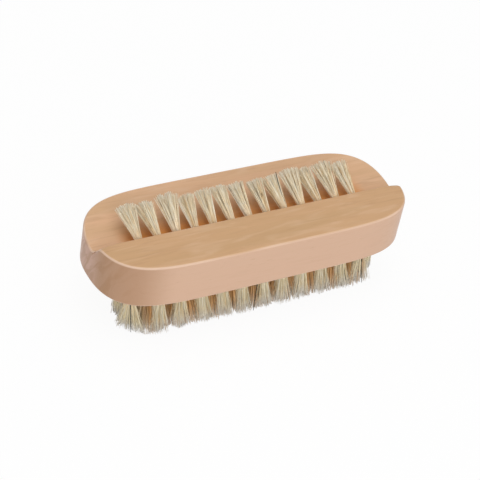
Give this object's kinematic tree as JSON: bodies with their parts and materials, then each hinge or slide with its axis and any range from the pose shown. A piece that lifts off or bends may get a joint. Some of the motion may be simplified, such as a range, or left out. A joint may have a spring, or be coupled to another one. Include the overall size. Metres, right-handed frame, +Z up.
{
  "type": "foot brush",
  "caption": "Foot brush with bristles on both sides: a pale rounded wooden block, trimmed tufts below and a leaning row of tufts in a groove along the top.",
  "frame": {"origin": "on the standing plane of the lower bristles' trimmed ends, under the middle of the wooden block", "axes": "+X along the block, +Y from the full-height front to the sloping back, +Z up from the lower bristles to the groove and its leaning tufts"},
  "size_m": [0.095, 0.0346, 0.0309],
  "materials": {
    "pale_wood": "satin",
    "under_bristle": "matte",
    "top_bristle": "matte"
  },
  "bodies": {
    "root": {"block": "pale_wood", "front_tuft_01": "under_bristle", "front_tuft_02": "under_bristle", "front_tuft_03": "under_bristle", "front_tuft_04": "under_bristle", "front_tuft_05": "under_bristle", "front_tuft_06": "under_bristle", "front_tuft_07": "under_bristle", "front_tuft_08": "under_bristle", "front_tuft_09": "under_bristle", "front_tuft_10": "under_bristle", "front_tuft_11": "under_bristle", "front_tuft_12": "under_bristle", "inner_front_tuft_01": "under_bristle", "inner_front_tuft_02": "under_bristle", "inner_front_tuft_03": "under_bristle", "inner_front_tuft_04": "under_bristle", "inner_front_tuft_05": "under_bristle", "inner_front_tuft_06": "under_bristle", "inner_front_tuft_07": "under_bristle", "inner_front_tuft_08": "under_bristle", "inner_front_tuft_09": "under_bristle", "inner_front_tuft_10": "under_bristle", "inner_front_tuft_11": "under_bristle", "inner_back_tuft_01": "under_bristle", "inner_back_tuft_02": "under_bristle", "inner_back_tuft_03": "under_bristle", "inner_back_tuft_04": "under_bristle", "inner_back_tuft_05": "under_bristle", "inner_back_tuft_06": "under_bristle", "inner_back_tuft_07": "under_bristle", "inner_back_tuft_08": "under_bristle", "inner_back_tuft_09": "under_bristle", "inner_back_tuft_10": "under_bristle", "back_tuft_01": "under_bristle", "back_tuft_02": "under_bristle", "back_tuft_03": "under_bristle", "back_tuft_04": "under_bristle", "back_tuft_05": "under_bristle", "back_tuft_06": "under_bristle", "back_tuft_07": "under_bristle", "back_tuft_08": "under_bristle", "back_tuft_09": "under_bristle", "back_tuft_10": "under_bristle", "back_tuft_11": "under_bristle", "back_tuft_12": "under_bristle", "top_tuft_01": "top_bristle", "top_tuft_02": "top_bristle", "top_tuft_03": "top_bristle", "top_tuft_04": "top_bristle", "top_tuft_05": "top_bristle", "top_tuft_06": "top_bristle", "top_tuft_07": "top_bristle", "top_tuft_08": "top_bristle", "top_tuft_09": "top_bristle", "top_tuft_10": "top_bristle", "top_tuft_11": "top_bristle", "top_tuft_12": "top_bristle", "top_tuft_13": "top_bristle"}
  },
  "joints": []
}
